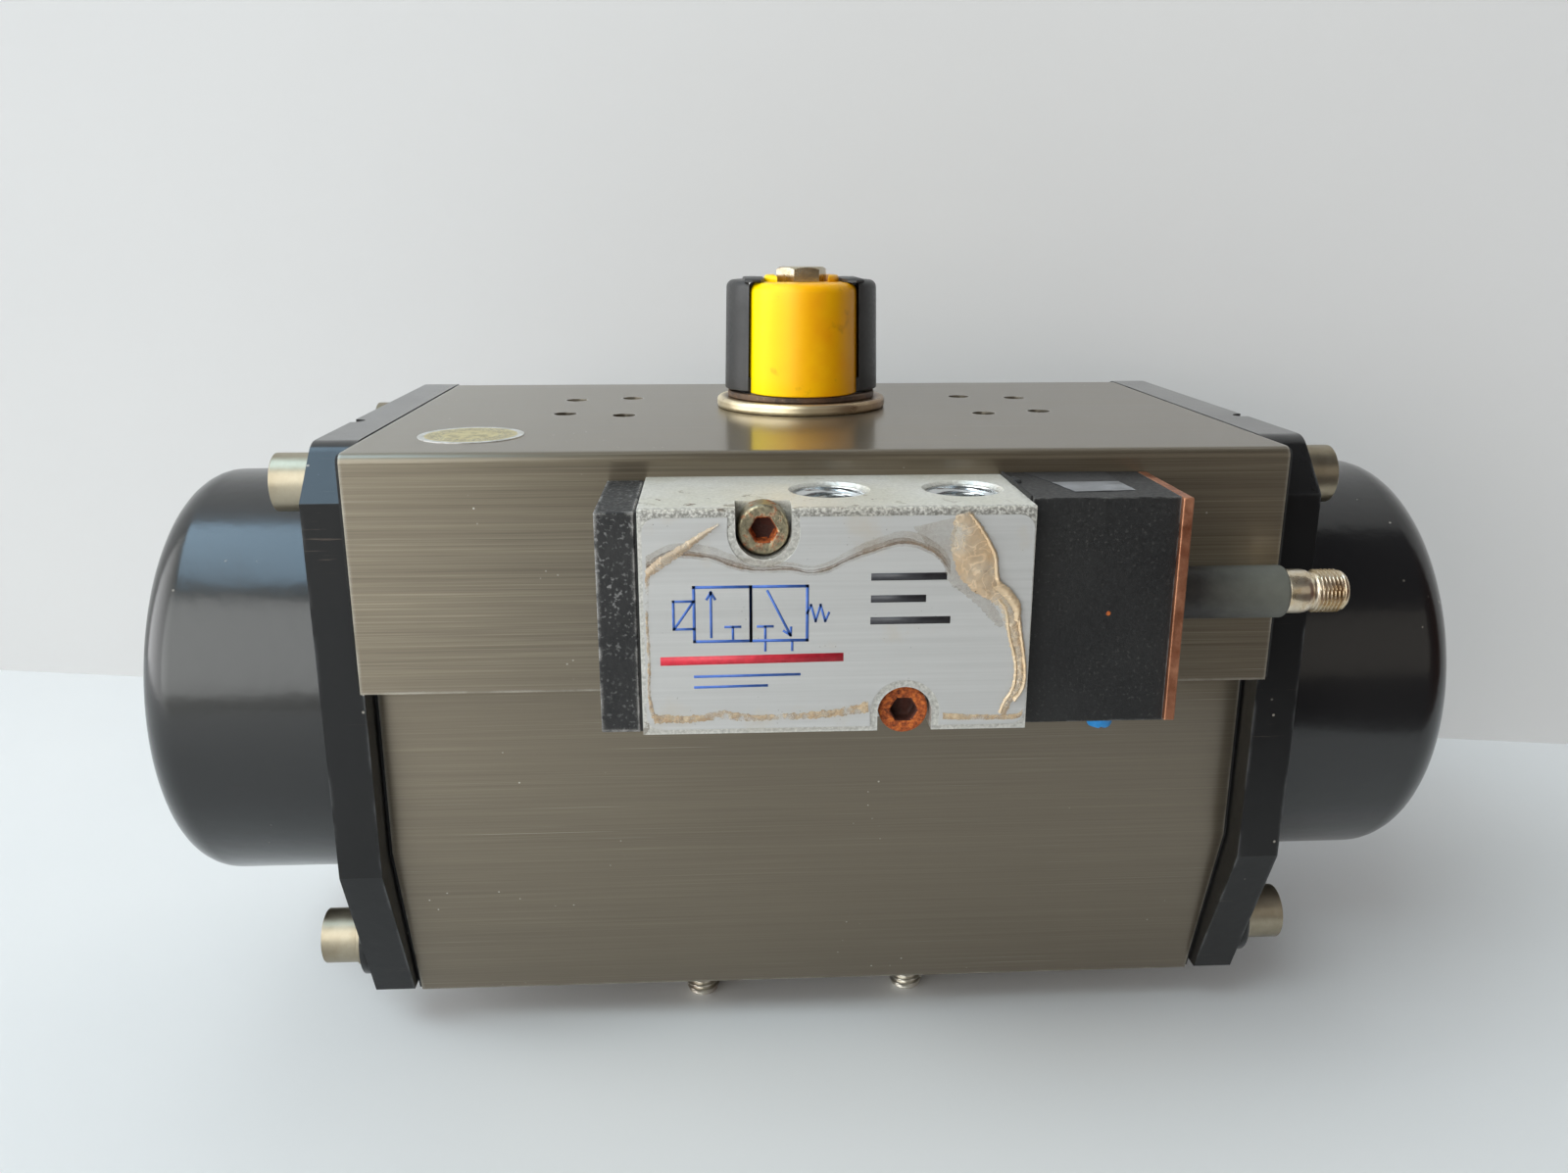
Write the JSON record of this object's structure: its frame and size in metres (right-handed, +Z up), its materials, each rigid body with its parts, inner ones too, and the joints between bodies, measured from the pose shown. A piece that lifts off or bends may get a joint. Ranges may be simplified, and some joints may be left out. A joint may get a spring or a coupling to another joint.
{
  "type": "rotary pneumatic actuator",
  "caption": "Spring-return rack-and-pinion quarter-turn air actuator with domed spring housings, position indicator and side-mounted solenoid valve.",
  "frame": {"origin": "the pinion axis where it meets the bottom mounting face", "axes": "+X along the pistons, towards the cable connector; -Y towards the solenoid valve; +Z up the pinion, towards the indicator"},
  "size_m": [0.2816, 0.1605, 0.1699],
  "materials": {
    "anodised_body": "hard-anodised extrusion, brushed along its length",
    "black_casting": "satin black coating on a casting",
    "gasket_rubber": "matt black",
    "nickel_screw": "nickel-plated, warm tint",
    "pinion_steel": "machined, nickel-plated",
    "bearing_plastic": "natural acetal",
    "stainless": "turned stainless, stained",
    "spring_steel": "epoxy-coated spring steel",
    "piston_alloy": "die-cast, machined",
    "indicator_black": "satin",
    "indicator_yellow": "satin, sun-faded",
    "bolt_steel": "aged stainless",
    "valve_alloy": "grit-blasted",
    "valve_black": "glass-filled nylon, worn edges",
    "copper_plate": "copper-plated steel",
    "copper_winding": "enamelled copper wire",
    "rusty_screw": "zinc-plated, rusted",
    "cable_jacket": "dark grey PUR jacket",
    "connector_metal": "nickel-plated brass",
    "override_blue": "satin",
    "label_foil": "silver polyester foil",
    "sticker": "faded vinyl"
  },
  "bodies": {
    "casing": {"body": "anodised_body", "end_cap_left": "black_casting", "end_cap_right": "black_casting", "end_cap_gasket_left": "gasket_rubber", "end_cap_gasket_right": "gasket_rubber", "end_cap_screws": "nickel_screw", "end_cap_washers": "nickel_screw", "pinion_bottom_bearing": "bearing_plastic", "pinion_top_bearing": "bearing_plastic", "thrust_washer": "bearing_plastic", "top_washer": "stainless", "stop_screws": "stainless", "stop_nuts": "stainless", "stop_seals": "gasket_rubber", "spring_outer_left": "spring_steel", "spring_outer_right": "spring_steel", "spring_inner_left": "spring_steel", "spring_inner_right": "spring_steel", "mounting_studs": "stainless", "valve_body": "valve_alloy", "valve_end_cap": "valve_black", "valve_end_gasket": "gasket_rubber", "valve_cap_screws": "stainless", "pilot_housing": "valve_black", "pilot_gasket": "gasket_rubber", "pilot_end_plate": "copper_plate", "pilot_screws": "stainless", "solenoid_coil": "copper_winding", "solenoid_core": "pinion_steel", "plunger_spring": "stainless", "spool_spring": "stainless", "valve_screws": "rusty_screw", "valve_port_seals": "gasket_rubber", "cable_sleeve": "cable_jacket", "connector_shell": "connector_metal", "connector_insert": "valve_black", "valve_label": "label_foil", "top_label": "sticker"},
    "drive": {"pinion": "pinion_steel", "pinion_bottom_oring": "gasket_rubber", "pinion_top_oring": "gasket_rubber", "snap_ring": "pinion_steel", "stop_cam": "pinion_steel", "indicator_cap": "indicator_black", "indicator_pointer": "indicator_yellow", "indicator_bolt": "bolt_steel"},
    "left_piston": {"piston_left": "piston_alloy", "piston_oring_left": "gasket_rubber", "piston_guide_ring_left": "bearing_plastic", "piston_pad_left": "bearing_plastic", "spring_seat_left": "spring_steel"},
    "right_piston": {"piston_right": "piston_alloy", "piston_oring_right": "gasket_rubber", "piston_guide_ring_right": "bearing_plastic", "piston_pad_right": "bearing_plastic", "spring_seat_right": "spring_steel"},
    "spool": {"valve_spool": "piston_alloy", "spool_seals": "gasket_rubber"},
    "armature": {"plunger": "pinion_steel"},
    "override": {"manual_override": "override_blue"}
  },
  "joints": [
    {"name": "pinion_turn", "type": "hinge", "parent": "casing", "child": "drive", "pos_m": [0, 0, 0.06445], "axis": [0, 0, 1], "range_deg": [0, 90]},
    {"name": "left_piston_slide", "type": "slide", "parent": "casing", "child": "left_piston", "axis": [-1, 0, 0], "range_m": [0, 0.03142], "deforming": ["spring_outer_left", "spring_inner_left"]},
    {"name": "right_piston_slide", "type": "slide", "parent": "casing", "child": "right_piston", "axis": [1, 0, 0], "range_m": [0, 0.03142], "deforming": ["spring_outer_right", "spring_inner_right"]},
    {"name": "spool_slide", "type": "slide", "parent": "casing", "child": "spool", "axis": [-1, 0, 0], "range_m": [0, 0.003], "deforming": ["spool_spring"]},
    {"name": "plunger_slide", "type": "slide", "parent": "casing", "child": "armature", "axis": [1, 0, 0], "range_m": [0, 0.0008], "deforming": ["plunger_spring"]},
    {"name": "override_press", "type": "slide", "parent": "casing", "child": "override", "axis": [0, 0, 1], "range_m": [0, 0.0015]}
  ],
  "couplings": [
    {"joint": "left_piston_slide", "follows": "pinion_turn", "m_per_rad": 0.02},
    {"joint": "right_piston_slide", "follows": "pinion_turn", "m_per_rad": 0.02}
  ]
}
